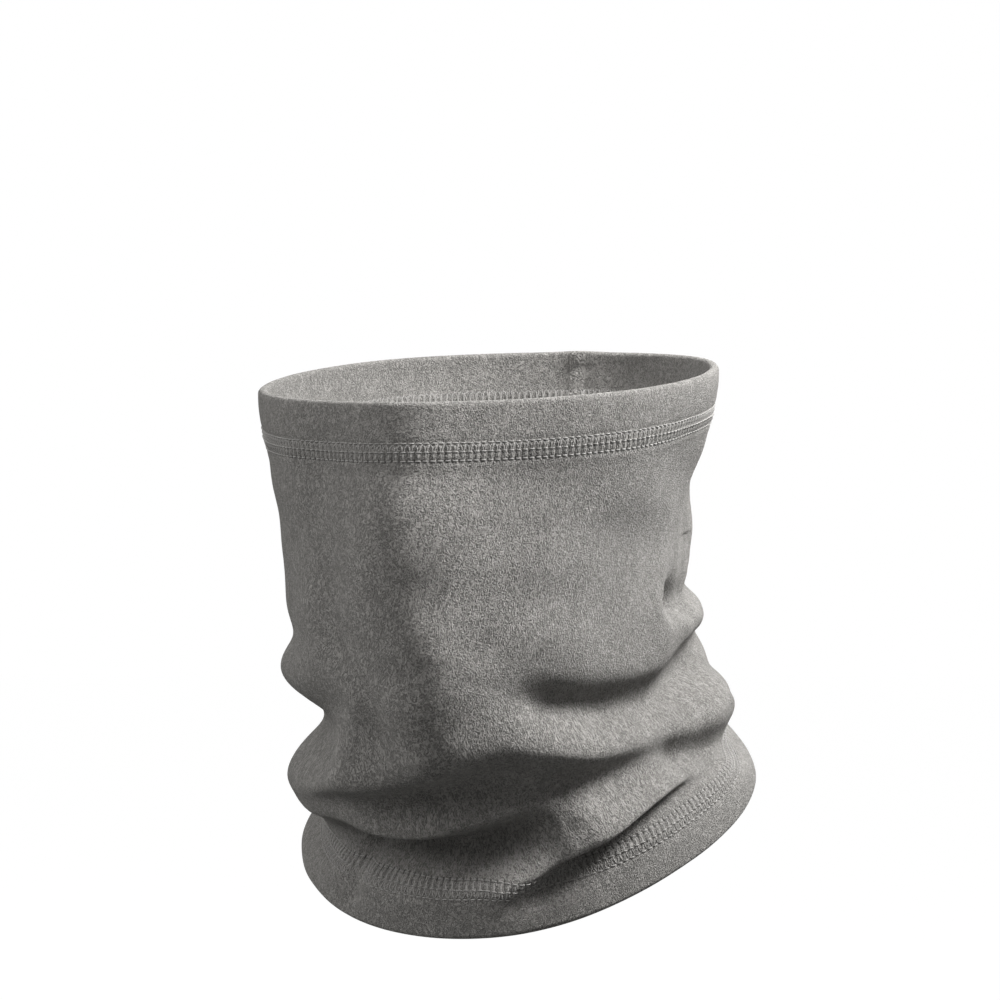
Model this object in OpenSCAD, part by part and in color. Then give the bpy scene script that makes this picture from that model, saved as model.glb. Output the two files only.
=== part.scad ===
// Fleece face-covering tube (neck gaiter, worn pulled up over the nose as a half balaclava).
// One strip of fleece is closed by an overlocked seam at the back, and both ends are turned in
// and held by three-needle coverstitching. The tube is drawn in the shape that it takes when worn.
// X points to the wearer's left, Y to the back and Z up. The origin is the middle of the head opening.

/* [Head opening] */
// Width of the head opening, from side to side (mm)
head_w = 153; // [125:1:190]
// Depth of the head opening, from the nose bridge's sides to the back of the head (mm)
head_d = 184; // [150:1:225]
// How far the nose lifts the cloth in front of the face (mm)
nose_lift = 14; // [4:1:18]
// How much higher the rim sits at the back than at the front (mm)
rim_rise = 17; // [0:1:35]
// Width of the tube where it narrows at the jaw (mm)
jaw_w = 130; // [115:1:160]

/* [Neck opening] */
// Width of the neck opening, from side to side (mm)
neck_w = 158; // [125:1:195]
// Depth of the neck opening, from front to back (mm)
neck_d = 168; // [135:1:205]
// How far the neck opening sits behind the head opening (mm)
neck_back = 24; // [0:1:40]
// How far the neck opening has slipped to the wearer's left (mm)
neck_side = 5; // [0:1:15]

/* [Height as worn] */
// Height from the middle of the rim to the middle of the bottom edge (mm)
worn_h = 155; // [120:1:190]
// How much lower the bottom edge hangs at the front than at the back (mm)
hem_slant = 62; // [20:1:75]
// How far the slumped rolls stand out (mm)
roll_h = 5; // [1:0.5:8]

/* [Fleece] */
// Thickness of one ply of fleece (mm)
fleece_t = 1.6; // [1:0.1:2.5]
// Depth of the turned hems (mm)
hem_depth = 21; // [16:0.5:28]
// Play between plies that lie on each other (mm)
ply_gap = 0.2; // [0.1:0.05:0.4]

/* [Stitching] */
// Distance between the outer two needle rows of the coverstitch (mm)
needle_gauge = 5.6; // [4:0.1:7]
// Distance from the last needle row to the raw edge inside the hem (mm)
raw_margin = 2; // [1:0.1:4]
// Thickness of the sewing threads (mm)
thread_d = 0.5; // [0.3:0.05:0.7]
// Play between a thread and what it lies on (mm)
thread_gap = 0.15; // [0.1:0.05:0.3]

/* [Back seam] */
// Width of the seam allowance inside the tube (mm)
allowance_w = 7; // [5:0.5:10]
// Distance from the seam to the overlock's first needle row (mm)
seam_needle_in = 2; // [1.5:0.1:3]
// Distance between the overlock's two needle rows (mm)
overlock_gauge = 2; // [1.5:0.1:2.5]
// Play between the seam allowance and the tube behind it (mm)
seam_gap = 0.6; // [0.4:0.1:1]
// Width of the blank care label (mm)
label_w = 14; // [10:1:20]
// Length of the care label, from the seam to its fold (mm)
label_len = 24; // [16:1:35]
// Thickness of the care label's ribbon (mm)
label_t = 0.3; // [0.2:0.05:0.5]
// Height of the care label above the bottom hem (mm)
label_up = 8; // [2:1:40]
// Play between the care label and the fleece (mm)
label_gap = 0.8; // [0.4:0.1:1.2]

/* [Hidden] */

fleece_grey = [0.46, 0.46, 0.45];
thread_grey = [0.58, 0.58, 0.57];
label_white = [0.90, 0.90, 0.88];

// The tube is a loft of upright sections, one every `step` degrees.
// Angle 0 is the front, 90 the wearer's left and 180 the back.
step = 7.5;
turn = [0 : step : 360 - step];
body_rows = 16; // rows of points between the two hems
seam_rows = 2 * body_rows; // and down the back seam, over the same height
thread_sides = 6; // facets round a thread
seam_angle = 180;

// Depths into the cloth, from its outer face, and distances from the folded edges.
edge_round = 0.5 * fleece_t;
inner_face = fleece_t;
turning_near = inner_face + ply_gap;
turning_far = turning_near + fleece_t;
needle_rows = [
    hem_depth - raw_margin - needle_gauge,
    hem_depth - raw_margin - needle_gauge / 2,
    hem_depth - raw_margin
];

// ---- Small helpers ----
function unit(p) = p / norm(p);
function mix(p, q, t) = p + (q - p) * t;
function reversed(list) = [for (i = [len(list) - 1 : -1 : 0]) list[i]];
function ease(t) = let (c = max(0, min(1, t))) c * c * (3 - 2 * c);
function ease_between(t, low, high) = ease((t - low) / (high - low));
function bump(x, middle, spread) = exp(-pow((x - middle) / spread, 2));
function wrapped(a) = ((a + 180) % 360 + 360) % 360 - 180;
// A smooth curve through rows of [share, value].
function along(rows, t, i = 0) =
    i >= len(rows) - 2 || t <= rows[i + 1][0]
        ? mix(rows[i][1], rows[i + 1][1], ease_between(t, rows[i][0], rows[i + 1][0]))
        : along(rows, t, i + 1);

// ---- The worn shape of the cloth's outer face ----
// Side, front and back reach of the tube on its way down, before the folds.
// The jaw draws the sides in, the chin holds the front out, and the nape draws the back in.
chin_out = 4;
nape_in = 13;
side_reach = [[0, head_w / 2], [0.38, jaw_w / 2], [0.62, jaw_w / 2 + 3], [1, neck_w / 2]];
front_reach = [[0, head_d / 2], [0.35, head_d / 2 + chin_out], [0.7, head_d / 2], [1, neck_d / 2]];
back_reach = [[0, head_d / 2], [0.5, head_d / 2 - nape_in], [0.75, head_d / 2 - nape_in], [1, neck_d / 2]];

function rim_z(a) = -rim_rise / 2 * cos(a);
function hem_z(a) = -worn_h - hem_slant / 2 * cos(a);
// Shares of the way down that lie so many millimetres under the rim or above the bottom edge.
function under_rim(a, d) = d / (rim_z(a) - hem_z(a));
function over_edge(a, d) = 1 - under_rim(a, d);

// The nose and mouth hold the cloth out in a soft upright ridge that ends at the chin.
function face_ridge(a, t) =
    nose_lift * bump(wrapped(a), 4, 17) * (0.6 + 0.4 * bump(t, 0.3, 0.2))
        * (1 - ease_between(t, 0.45, 0.75));
// The slack cloth slumps into a swag under the chin that climbs towards the wearer's left,
// a second roll across the left cheek, and two shorter rolls that bunch at the back.
// The swag hangs over a hollow just above the bottom hem.
// All lie between the hems: b is the share of the way from one raw edge to the other.
function rolls(a, t) =
    let (
        front = (1 + cos(a)) / 2,
        left = (1 + sin(a)) / 2,
        b = (t - under_rim(a, hem_depth)) / (over_edge(a, hem_depth) - under_rim(a, hem_depth))
    )
    roll_h * (
        1.7 * bump(b, 0.80 - 0.12 * left, 0.08) * (0.35 + 0.65 * front)
        + 0.8 * bump(b, 0.55, 0.07) * left
        + 0.6 * bump(b, 0.74, 0.13) * (1 - front)
        + 0.5 * bump(b, 0.36, 0.13) * (1 - front)
        - 0.6 * bump(b, 0.93, 0.04) * front
    );

function section_reach(a, t) =
    let (
        side = along(side_reach, t),
        ahead = cos(a) > 0 ? along(front_reach, t) : along(back_reach, t)
    )
    side * ahead / sqrt(pow(ahead * sin(a), 2) + pow(side * cos(a), 2));
// A point of the cloth's outer face: a is the angle and t the share of the way down.
function face_point(a, t) =
    let (
        reach = section_reach(a, t) + face_ridge(a, t) + rolls(a, t),
        shift = ease_between(t, 0.45, 0.9)
    )
    [reach * sin(a) + neck_side * shift, -reach * cos(a) + neck_back * shift, mix(rim_z(a), hem_z(a), t)];
// Unit vectors there: down the cloth, round it towards rising angles, and out of it.
function down_cloth(a, t) =
    unit(face_point(a, min(1, t + 0.01)) - face_point(a, max(0, t - 0.01)));
function round_cloth(a, t) = unit(face_point(a + 1, t) - face_point(a - 1, t));
function out_of(a, t) = unit(cross(down_cloth(a, t), round_cloth(a, t)));
// A point so deep inside the outer face.
function in_cloth(a, t, depth) = face_point(a, t) - depth * out_of(a, t);

// ---- Lofts ----
// The skin between loops of points, each joined to the next; `closed` joins the last to the first.
function loft_skin(n, m, closed) = [
    for (i = [0 : closed ? n - 1 : n - 2], j = [0 : m - 1])
        let (k = (i + 1) % n, l = (j + 1) % m)
        each [[i * m + j, k * m + j, k * m + l], [i * m + j, k * m + l, i * m + l]]
];
// A flat end of a loft, whose loop's second half runs back along its first.
function loft_end(m, at, flip) = [
    for (j = [0 : m / 2 - 2])
        let (quad = [at + j, at + j + 1, at + m - 2 - j, at + m - 1 - j])
        each flip
            ? [[quad[0], quad[2], quad[1]], [quad[0], quad[3], quad[2]]]
            : [[quad[0], quad[1], quad[2]], [quad[0], quad[2], quad[3]]]
];
module ring_loft(sections) {
    polyhedron(
        points = [for (s = sections) each s],
        faces = loft_skin(len(sections), len(sections[0]), true)
    );
}
module strip_loft(sections) {
    n = len(sections);
    m = len(sections[0]);
    polyhedron(
        points = [for (s = sections) each s],
        faces = concat(loft_end(m, 0, false), loft_skin(n, m, false), loft_end(m, (n - 1) * m, true))
    );
}

// Loops round a thread that runs round the tube, and round one that runs down it.
function thread_loop(middle, across, up) = [
    for (j = [0 : thread_sides - 1])
        let (turned = 360 * j / thread_sides)
        middle + thread_d / 2 * (cos(turned) * across + sin(turned) * up)
];
function level_thread(a, t, depth) =
    thread_loop(in_cloth(a, t, depth), out_of(a, t), down_cloth(a, t));
function upright_thread(a, t, depth) =
    thread_loop(in_cloth(a, t, depth), round_cloth(a, t), out_of(a, t));

// ---- Cloth ----
// Shares of the way down at which the cloth has points: in each hem, at its fold, its needle rows
// and its raw edge, and evenly between the hems.
hem_rows = [edge_round, each needle_rows, hem_depth];
inner_rows = [fleece_t, each needle_rows, hem_depth];
function body_shares(a) = [
    for (i = [1 : body_rows - 1])
        mix(under_rim(a, hem_depth), over_edge(a, hem_depth), i / body_rows)
];
function cloth_shares(a) = [
    for (d = hem_rows) under_rim(a, d),
    each body_shares(a),
    for (d = reversed(hem_rows)) over_edge(a, d)
];
// The turned ply of a hem, from the fold along its inner face to the raw edge and back.
function turned_ply(a, shares) = [
    for (t = shares) in_cloth(a, t, turning_far),
    for (t = reversed(shares)) in_cloth(a, t, turning_near)
];
function panel_section(a) = [
    for (t = cloth_shares(a)) in_cloth(a, t, 0),
    in_cloth(a, 1, edge_round),
    in_cloth(a, 1, turning_far - edge_round),
    each turned_ply(a, [for (d = inner_rows) over_edge(a, d)]),
    for (d = inner_rows) in_cloth(a, over_edge(a, d), inner_face),
    for (t = reversed(body_shares(a))) in_cloth(a, t, inner_face),
    for (d = reversed(inner_rows)) in_cloth(a, under_rim(a, d), inner_face),
    each reversed(turned_ply(a, [for (d = inner_rows) under_rim(a, d)])),
    in_cloth(a, 0, turning_far - edge_round),
    in_cloth(a, 0, edge_round)
];

// The strip's two cut ends, turned inside at the back and laid to the wearer's right.
// They stand off the tube by the lower looper thread between them and it.
seam_bend = fleece_t / 2;
allowance_near = inner_face + seam_gap + thread_d + thread_gap;
allowance_mid = allowance_near + fleece_t;
allowance_far = allowance_mid + ply_gap + fleece_t;
function seam_turn(w) = w / section_reach(seam_angle, 0.5) * 180 / PI;
// Shares of the way down the seam, which stops one row short of each hem's raw edge.
function seam_share(i) =
    mix(under_rim(seam_angle, hem_depth), over_edge(seam_angle, hem_depth), i / seam_rows);
module seam_strip(from, to, near, far) {
    strip_loft([
        for (i = [1 : seam_rows - 1])
            let (
                t = seam_share(i),
                first = seam_angle + seam_turn(from),
                last = seam_angle + seam_turn(to)
            )
            [
                in_cloth(first, t, near), in_cloth(first, t, far),
                in_cloth(last, t, far), in_cloth(last, t, near)
            ]
    ]);
}
module fleece_panel() {
    color(fleece_grey) {
        ring_loft([for (a = turn) panel_section(a)]);
        // The bend at the seam joins the tube to both plies of the allowance, and ends inside each.
        seam_strip(-seam_bend / 2, seam_bend / 2, inner_face / 2, allowance_far - fleece_t / 2);
        seam_strip(0, allowance_w, allowance_near, allowance_mid);
        seam_strip(0, allowance_w, allowance_mid + ply_gap, allowance_far);
    }
}
// ---- Coverstitch ----
function hem_share(a, d, at_top) = at_top ? under_rim(a, d) : over_edge(a, d);
// A needle thread lies on the outer face, all round the tube.
module hem_needle_thread(row, at_top) {
    depth = -thread_gap - thread_d / 2;
    color(thread_grey) ring_loft([
        for (a = turn) level_thread(a, hem_share(a, needle_rows[row - 1], at_top), depth)
    ]);
}
// A thread that crosses the rows from the first to the last and back, once at each section.
module hem_crossing_thread(depth, at_top) {
    color(thread_grey) ring_loft([
        for (a = turn)
            let (row = needle_rows[round(a / step) % 2 == 0 ? 0 : 2])
            level_thread(a, hem_share(a, row, at_top), depth)
    ]);
}
// The cover thread lies over the needle threads, and the looper thread inside the turned ply.
cover_depth = -3 * thread_gap - 1.5 * thread_d;
looper_depth = turning_far + 2 * thread_gap + thread_d / 2;

// ---- Overlock ----
// The threads of the back seam: needle rows on the allowance, and loopers from them to its cut edge.
seam_thread_depth = allowance_far + thread_gap + thread_d / 2;
upper_looper_depth = seam_thread_depth + thread_gap + thread_d;
lower_looper_depth = inner_face + seam_gap + thread_d / 2;
lower_looper_from = seam_bend + thread_gap + thread_d;
module seam_needle_thread(row) {
    a = seam_angle + seam_turn(seam_needle_in + (row - 1) * overlock_gauge);
    color(thread_grey) strip_loft([
        for (i = [1 : seam_rows - 1]) upright_thread(a, seam_share(i), seam_thread_depth)
    ]);
}
module seam_looper_thread(from, depth) {
    color(thread_grey) strip_loft([
        for (i = [1 : seam_rows - 1])
            let (a = seam_angle + seam_turn(i % 2 == 0 ? from : allowance_w - thread_d / 2))
            upright_thread(a, seam_share(i), depth)
    ]);
}

// ---- Care label ----
// A blank ribbon folded in two, caught in the seam above the bottom hem and laid to the wearer's left.
label_rows = 3;
label_steps = 4;
module care_label() {
    near = inner_face + label_gap;
    far = near + 2 * label_t + ply_gap;
    low = hem_depth + label_up;
    runs = [for (i = [0 : label_steps]) mix(label_gap, label_len, i / label_steps)];
    // One ply's points, and the other's on the way back.
    color(label_white) strip_loft([
        for (k = [0 : label_rows])
            let (t = over_edge(seam_angle, low + label_w * (1 - k / label_rows)))
            [
                for (r = runs) label_point(r, t, near),
                for (r = reversed(runs)) label_point(r, t, far),
                for (r = runs) label_point(min(r, label_len - label_t), t, far - label_t),
                for (r = reversed(runs)) label_point(min(r, label_len - label_t), t, near + label_t)
            ]
    ]);
}
function label_point(run, t, depth) = in_cloth(seam_angle - seam_turn(run), t, depth);

fleece_panel();
hem_needle_thread(1, true);  // top_hem_needle_thread_1
hem_needle_thread(2, true);  // top_hem_needle_thread_2
hem_needle_thread(3, true);  // top_hem_needle_thread_3
hem_crossing_thread(cover_depth, true);  // top_hem_cover_thread
hem_crossing_thread(looper_depth, true);  // top_hem_looper_thread
hem_needle_thread(1, false);  // bottom_hem_needle_thread_1
hem_needle_thread(2, false);  // bottom_hem_needle_thread_2
hem_needle_thread(3, false);  // bottom_hem_needle_thread_3
hem_crossing_thread(cover_depth, false);  // bottom_hem_cover_thread
hem_crossing_thread(looper_depth, false);  // bottom_hem_looper_thread
seam_needle_thread(1);  // back_seam_needle_thread_1
seam_needle_thread(2);  // back_seam_needle_thread_2
seam_looper_thread(seam_needle_in, upper_looper_depth);  // back_seam_upper_looper_thread
seam_looper_thread(lower_looper_from, lower_looper_depth);  // back_seam_lower_looper_thread
care_label();
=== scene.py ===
# Fleece neck gaiter, drawn as it is worn: pulled up over the nose and ears, and slumped at the neck.
import math
from collections import namedtuple

import bmesh
import bpy
import numpy as np
from mathutils import Matrix, Vector


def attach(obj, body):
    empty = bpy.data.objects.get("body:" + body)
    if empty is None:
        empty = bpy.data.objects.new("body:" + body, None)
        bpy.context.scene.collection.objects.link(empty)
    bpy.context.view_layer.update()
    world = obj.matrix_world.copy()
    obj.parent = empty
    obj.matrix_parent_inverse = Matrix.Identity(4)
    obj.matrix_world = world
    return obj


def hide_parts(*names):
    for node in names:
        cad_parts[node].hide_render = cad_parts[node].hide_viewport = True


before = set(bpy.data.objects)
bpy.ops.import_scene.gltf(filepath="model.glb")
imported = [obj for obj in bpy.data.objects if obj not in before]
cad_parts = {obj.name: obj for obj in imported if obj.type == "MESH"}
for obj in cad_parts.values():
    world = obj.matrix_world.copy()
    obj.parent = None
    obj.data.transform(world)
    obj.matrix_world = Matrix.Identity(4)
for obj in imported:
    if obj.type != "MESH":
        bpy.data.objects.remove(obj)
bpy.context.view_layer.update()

MM = 0.001
FLOOR_HEIGHT = -0.62  # m
CUT_WIDTH = 544.0  # mm, the strip's cut width, with both seam allowances
UNROLLED_RADIUS = 80.0  # mm, for distances between folds on the unrolled tube
PLY_GAP = 0.2  # mm, between plies that lie on each other
BODY_STEPS = 112  # rows of faces between the two hems
NEEDLE_RISES = (0.42, 0.60, 0.30)  # mm, how far each row's stitches stand up from the cloth
OVERLOCK_ROWS = (2.0, 4.0)  # mm, from the back seam to its two needle rows
SEAM_GAP = 0.7  # mm, from the tube to the seam allowance, and to the care label
LABEL_UP = 8.0  # mm, from the bottom hem's raw edge to the care label
LABEL_FOLD = 1.6  # mm, across the folded label
TUFT_SIZE = (0.95, 1.3)  # mm, the nap's tufts, across and down the cloth
RIB_SPACING = 0.45  # mm, between the label ribbon's ribs

bl_info = {
    "name": "Fleece Neck Gaiter",
    "version": (1, 0, 0),
    "blender": (4, 5, 0),
    "location": "View3D > Sidebar > Gaiter",
    "description": "Builds a coverstitched fleece neck gaiter in its worn, slumped shape",
    "category": "Object",
}


# ---------------------------------------------------------------- small helpers

def ease(t):
    """Smooth step from 0 to 1."""
    t = np.clip(t, 0.0, 1.0)
    return t * t * (3.0 - 2.0 * t)


def bump(x, middle, spread):
    """Smooth hill of height 1."""
    return np.exp(-((x - middle) / spread) ** 2)


def wrapped(angle):
    """An angle in degrees, brought between -180 and 180."""
    return (np.asarray(angle, dtype=float) + 180.0) % 360.0 - 180.0


def along(rows, t):
    """Smooth curve through rows of (share, value)."""
    value = np.full_like(t, rows[0][1], dtype=float)
    for (low, first), (high, last) in zip(rows, rows[1:]):
        value = np.where(t >= low, first + (last - first) * ease((t - low) / (high - low)), value)
    return value


def unit(v):
    return v / np.maximum(np.linalg.norm(v, axis=-1, keepdims=True), 1e-9)


def linear(hex_colour):
    """sRGB hex to the linear colour that Blender's sockets take."""
    out = []
    for i in (0, 2, 4):
        c = int(hex_colour.lstrip("#")[i:i + 2], 16) / 255.0
        out.append(c / 12.92 if c <= 0.04045 else ((c + 0.055) / 1.055) ** 2.4)
    return (*out, 1.0)


# ---------------------------------------------------------------- settings

def millimetres(name, description, default, low=0.0, high=1000.0):
    return bpy.props.FloatProperty(
        name=name, description=description, default=default, min=low, max=high, precision=2)


def hex_string(name, description, default):
    return bpy.props.StringProperty(name=name, description=description, default=default, maxlen=7)


class GaiterClothSettings(bpy.types.PropertyGroup):
    head_width: millimetres("Head width", "Side to side at the rim, in mm", 153.0)
    head_depth: millimetres("Head depth", "Front to back at the rim, in mm", 184.0)
    rim_rise: millimetres("Rim rise", "How much higher the rim is at the back, in mm", 17.0)
    jaw_width: millimetres("Jaw width", "Side to side where the tube is narrowest, in mm", 130.0)
    nose_lift: millimetres("Nose lift", "How far the nose holds the cloth out, in mm", 14.0)
    neck_width: millimetres("Neck width", "Side to side at the bottom edge, in mm", 158.0)
    neck_depth: millimetres("Neck depth", "Front to back at the bottom edge, in mm", 168.0)
    neck_back: millimetres("Neck back", "How far the bottom edge sits behind the rim, in mm", 24.0)
    neck_side: millimetres("Neck side", "How far it has slipped to the wearer's left, in mm", 5.0)
    worn_height: millimetres("Worn height", "Rim to bottom edge at the sides, in mm", 155.0)
    hem_slant: millimetres("Hem slant", "How much lower the bottom edge is at the front, in mm", 62.0)
    side_hitch: millimetres("Side hitch", "How far the bottom edge is drawn up at the sides, in mm", 4.5)
    ply: millimetres("Ply", "Thickness of one ply of fleece, in mm", 1.6)
    hem_depth: millimetres("Hem depth", "Depth of the turned hems, in mm", 21.0)
    columns: bpy.props.IntProperty(
        name="Columns", description="Columns of faces round the tube", default=336, min=48, max=720)
    fleece_hex: hex_string("Fleece", "Colour of the fleece, as sRGB hex", "#7C7A77")


class GaiterStitchSettings(bpy.types.PropertyGroup):
    pitch: millimetres("Stitch length", "Length of one stitch, in mm", 2.4, 1.0, 6.0)
    gauge: millimetres("Needle gauge", "Distance between the outer needle rows, in mm", 5.6)
    raw_margin: millimetres("Raw margin", "Last needle row to the raw edge, in mm", 2.0)
    thread: millimetres("Thread", "Thickness of the sewing thread, in mm", 0.42, 0.1, 1.0)
    allowance: millimetres("Seam allowance", "Width of the back seam's allowance, in mm", 7.0)
    thread_hex: hex_string("Thread colour", "Colour of the sewing thread, as sRGB hex", "#8D8B88")


class GaiterLabelSettings(bpy.types.PropertyGroup):
    width: millimetres("Label width", "Width of the care label, in mm", 14.0)
    length: millimetres("Label length", "Length from the seam to the fold, in mm", 24.0)
    ribbon: millimetres("Ribbon", "Thickness of the ribbon, in mm", 0.3)
    label_hex: hex_string("Label colour", "Colour of the ribbon, as sRGB hex", "#E6E4DE")


class GaiterStageSettings(bpy.types.PropertyGroup):
    camera_azimuth: bpy.props.FloatProperty(
        name="Azimuth", description="Camera direction, from the front towards the wearer's left",
        default=math.radians(21.0), subtype="ANGLE")
    camera_distance: bpy.props.FloatProperty(
        name="Distance", description="Camera distance from the tube's middle", default=1.2, unit="LENGTH")
    lens: bpy.props.FloatProperty(
        name="Lens", description="Focal length on a 36 mm sensor", default=125.3, unit="CAMERA")


# ---------------------------------------------------------------- the worn shape

# A fold is a ridge or a valley on the cloth. Its path's points are (angle in degrees, height in mm,
# strength), its out is how far it stands out, its above and below are how far it spreads to either
# side of the path, and its sag is how far its crest hangs down over what lies below.
Fold = namedtuple("Fold", "path out above below sag")

FOLDS = {
    # The nose's dark flank, the chin, and the hollows between it and the jaw.
    "nose_flank": Fold([(-16, -24, 0.5), (-14, -58, 1.0), (-11, -84, 1.0), (-9, -98, 0.4)], -2.5, 8, 8, 0),
    "mouth_hollow": Fold([(11, -68, 0.5), (17, -84, 1.0), (27, -91, 0.6)], -2.5, 10, 8, 0),
    "chin": Fold([(3, -94, 0.5), (5, -104, 1.0), (7, -112, 0.9)], 6.0, 11, 10, 1),
    "right_cheek_hollow": Fold([(-76, -28, 0.3), (-76, -60, 0.8), (-80, -100, 1.2)], -4.5, 34, 34, 0),
    # Slack under the chin and across the wearer's left cheek.
    "cheek_valley": Fold(
        [(24, -104, 0.3), (35, -109, 0.9), (46, -111, 1.1), (59, -110, 1.2), (73, -108, 1.4),
         (86, -104, 1.6), (98, -99, 1.5), (116, -92, 1.0), (138, -86, 0.4)], -7.5, 8, 6, -1),
    "cheek_roll": Fold(
        [(8, -121, 0.5), (20, -118, 0.8), (29, -119, 0.9), (38, -120, 1.0), (50, -119, 1.0),
         (64, -117, 1.0), (78, -115, 1.0), (92, -113, 0.9), (110, -110, 0.5)], 3.0, 6, 9, 3),
    "under_roll": Fold(
        [(-4, -139, 0.4), (5, -139, 0.9), (17, -138, 1.1), (26, -136, 1.1), (35, -135, 1.1),
         (46, -132, 1.2), (58, -128, 1.2), (69, -126, 1.0), (80, -126, 0.5)], -6.0, 9, 7, 0),
    # The narrower roll that climbs from the bottom hem to the wearer's left, and its shadow line.
    "collar_roll": Fold(
        [(16, -168, 0.3), (23, -159, 0.8), (33, -150, 1.0), (44, -142, 1.0), (58, -134, 0.9),
         (69, -131, 0.5), (82, -128, 0.1)], 7.0, 6, 4.5, 4),
    "collar_cavity": Fold(
        [(18, -173, 0.3), (23, -168, 0.7), (32, -160, 1.0), (43, -151, 1.0), (54, -143, 0.9),
         (66, -138, 0.5), (80, -134, 0.1)], -5.5, 3.5, 5, 0),
    "left_side_notch": Fold(
        [(70, -127, 0.6), (100, -125, 1.1), (120, -123, 1.1), (140, -118, 0.6)], -7.5, 8, 8, 0),
    # The swag that hangs under the chin on the wearer's right, its lip, and the cavity below it.
    "swag": Fold(
        [(-100, -128, 0.1), (-72, -131, 0.5), (-38, -131, 1.0), (-18, -126, 1.0), (-6, -124, 1.0),
         (4, -120, 0.7), (10, -117, 0.3)], 7.0, 9, 10, 5),
    "swag_lip": Fold(
        [(-48, -142, 0.4), (-23, -142, 0.9), (-10, -146, 1.0), (-1, -146, 1.0), (8, -143, 0.9),
         (16, -140, 0.7), (25, -136, 0.4)], 4.0, 6, 5, 3),
    "swag_cavity": Fold(
        [(-100, -142, 0.3), (-64, -150, 0.6), (-46, -156, 0.6), (-25, -157, 0.9), (-13, -159, 1.2),
         (-3, -159, 1.2), (6, -158, 1.2), (15, -155, 1.2), (24, -150, 0.9), (29, -147, 0.4)],
        -11.0, 6, 8, 0),
    "hem_crease": Fold([(-20, -150, 0.6), (-23, -162, 1.0), (-25, -174, 0.8)], -3.0, 4, 5, 0),
    # The wearer's right side.
    "right_side_notch": Fold([(-80, -84, 1.0), (-50, -86, 0.9), (-32, -88, 0.3)], -3.5, 6, 6, 0),
    "right_side_roll": Fold([(-80, -96, 0.5), (-50, -96, 0.9), (-22, -99, 0.5)], 2.0, 7, 7, 1),
    "right_side_pit": Fold(
        [(-125, -106, 0.5), (-90, -110, 1.0), (-60, -115, 1.1), (-34, -119, 1.3), (-22, -121, 0.9)],
        -8.0, 9, 7, 0),
    "right_side_ridge": Fold(
        [(-16, -92, 0.5), (-8, -101, 1.0), (-7, -109, 1.0), (-12, -119, 0.9), (-22, -127, 0.5)],
        3.5, 5.5, 5.5, 0),
    # Behind the wearer's left ear.
    "ear_notch": Fold(
        [(84, -79, 0.6), (91, -76, 1.4), (100, -77, 0.9), (116, -74, 0.8), (140, -70, 0.5)], -6.0, 6, 5, 0),
    "ear_ridge": Fold([(112, -65, 0.3), (111, -71, 0.9), (106, -81, 0.6)], 2.0, 6, 6, 0),
    "ear_roll": Fold([(96, -84, 0.4), (114, -81, 0.8), (145, -77, 0.9), (170, -75, 0.5)], 3.5, 7, 7, 2),
    # The cloth that bunches at the nape.
    "nape_roll_upper": Fold(
        [(120, -52, 0.4), (150, -44, 1.0), (180, -38, 1.0), (212, -42, 0.9), (250, -54, 0.4)],
        6.5, 11, 8, 4),
    "nape_valley_upper": Fold(
        [(140, -62, 0.6), (160, -57, 1.0), (185, -52, 1.0), (215, -56, 0.8), (245, -68, 0.4)],
        -5.0, 6, 6, 0),
    "nape_roll_lower": Fold(
        [(150, -76, 0.6), (180, -70, 1.0), (212, -73, 1.0), (240, -82, 0.8), (262, -88, 0.3)],
        8.0, 10, 8, 5),
    "nape_valley_lower": Fold(
        [(112, -104, 0.5), (150, -94, 1.0), (180, -90, 1.0), (215, -94, 1.0), (252, -108, 0.5)],
        -6.0, 6, 7, 0),
}


def cloth_settings():
    return bpy.context.scene.gaiter_cloth


def rim_height(angle):
    return -cloth_settings().rim_rise / 2.0 * np.cos(np.radians(angle))


def edge_height(angle):
    c = cloth_settings()
    turn = np.radians(angle)
    return -c.worn_height - c.hem_slant / 2.0 * np.cos(turn) + c.side_hitch * (
        np.sin(turn) ** 2 + 0.5 * bump(wrapped(angle), 58.0, 24.0))


def worn_form(angle, share):
    """The tube's outer face before its folds; share is the way down from the rim, from 0 to 1."""
    c = cloth_settings()
    turn = np.radians(angle)
    side = along([(0, c.head_width / 2), (0.38, c.jaw_width / 2), (0.62, c.jaw_width / 2 + 3),
                  (1, c.neck_width / 2)], share)
    front = along([(0, c.head_depth / 2), (0.35, c.head_depth / 2 + 4), (0.7, c.head_depth / 2),
                   (1, c.neck_depth / 2)], share)
    back = along([(0, c.head_depth / 2), (0.5, c.head_depth / 2 - 13), (0.75, c.head_depth / 2 - 13),
                  (1, c.neck_depth / 2)], share)
    ahead = np.where(np.cos(turn) > 0, front, back)
    reach = side * ahead / np.sqrt((ahead * np.sin(turn)) ** 2 + (side * np.cos(turn)) ** 2)
    ridge_turn = 4 + 9 * np.minimum(share / 0.55, 1.0) ** 2
    reach = reach + (c.nose_lift * bump(wrapped(angle), ridge_turn, 13.0)
                     * (0.6 + 0.4 * bump(share, 0.3, 0.2)) * (1 - ease((share - 0.45) / 0.3)))
    shift = ease((share - 0.45) / 0.45)
    height = rim_height(angle) + (edge_height(angle) - rim_height(angle)) * share
    return np.stack([reach * np.sin(turn) + c.neck_side * shift,
                     -reach * np.cos(turn) + c.neck_back * shift, height], axis=-1)


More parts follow.
